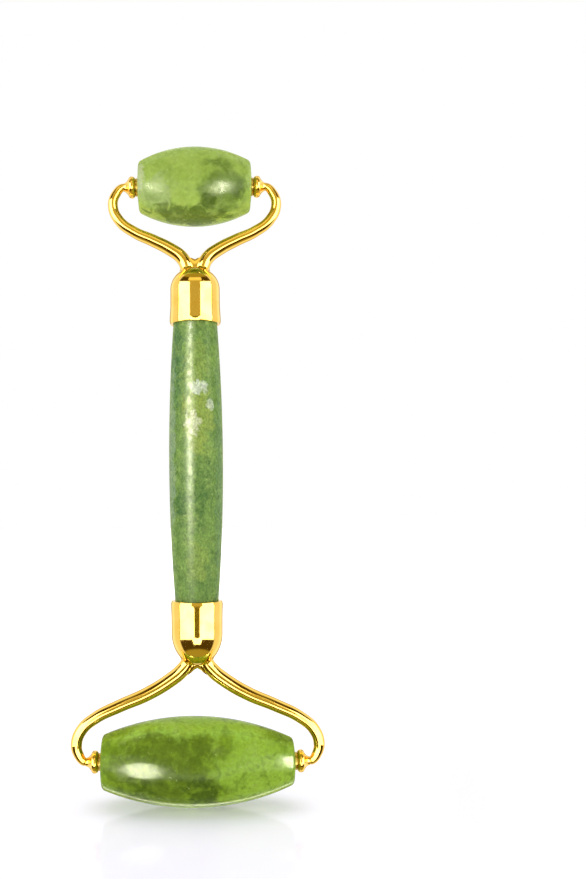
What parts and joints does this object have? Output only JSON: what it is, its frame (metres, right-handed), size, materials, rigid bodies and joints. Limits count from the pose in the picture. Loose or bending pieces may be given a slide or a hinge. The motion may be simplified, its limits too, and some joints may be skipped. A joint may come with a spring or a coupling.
{
  "type": "jade face roller",
  "caption": "Face massage roller: a green stone barrel handle with gold ferrules and wire forks, a small stone roller at one end and a long one at the other, both turning freely.",
  "frame": {"origin": "middle of the grip, on the handle's centre line", "axes": "+Z along the handle from the long roller to the small one, X along both rollers' axles, -Y towards the viewer"},
  "size_m": [0.0558, 0.0196, 0.1448],
  "materials": {
    "grip_stone": "polished granular green stone with cloudy patches",
    "light_stone": "polished translucent yellow-green stone with an olive patch",
    "green_stone": "polished translucent green stone with dark mottling",
    "gold_plating": "mirror-polished yellow gold plating",
    "bush_brass": "plain machined brass",
    "raw_brass": "plain turned brass, hidden",
    "axle_steel": "drawn steel rod, hidden"
  },
  "bodies": {
    "handle": {"handle_stone": "grip_stone", "upper_core": "raw_brass", "lower_core": "raw_brass", "upper_ferrule": "gold_plating", "lower_ferrule": "gold_plating", "upper_left_arm": "gold_plating", "upper_right_arm": "gold_plating", "lower_left_arm": "gold_plating", "lower_right_arm": "gold_plating", "upper_left_cup": "gold_plating", "upper_right_cup": "gold_plating", "lower_left_cup": "gold_plating", "lower_right_cup": "gold_plating", "upper_axle": "axle_steel", "lower_axle": "axle_steel"},
    "upper_roller": {"upper_roller_stone": "light_stone", "upper_left_bush": "bush_brass", "upper_right_bush": "bush_brass"},
    "lower_roller": {"lower_roller_stone": "green_stone", "lower_left_bush": "bush_brass", "lower_right_bush": "bush_brass"}
  },
  "joints": [
    {"name": "upper_roller_spin", "type": "hinge", "parent": "handle", "child": "upper_roller", "pos_m": [0, 0, 0.0604], "axis": [1, 0, 0], "continuous": true},
    {"name": "lower_roller_spin", "type": "hinge", "parent": "handle", "child": "lower_roller", "pos_m": [0, 0, -0.0662], "axis": [1, 0, 0], "continuous": true}
  ]
}
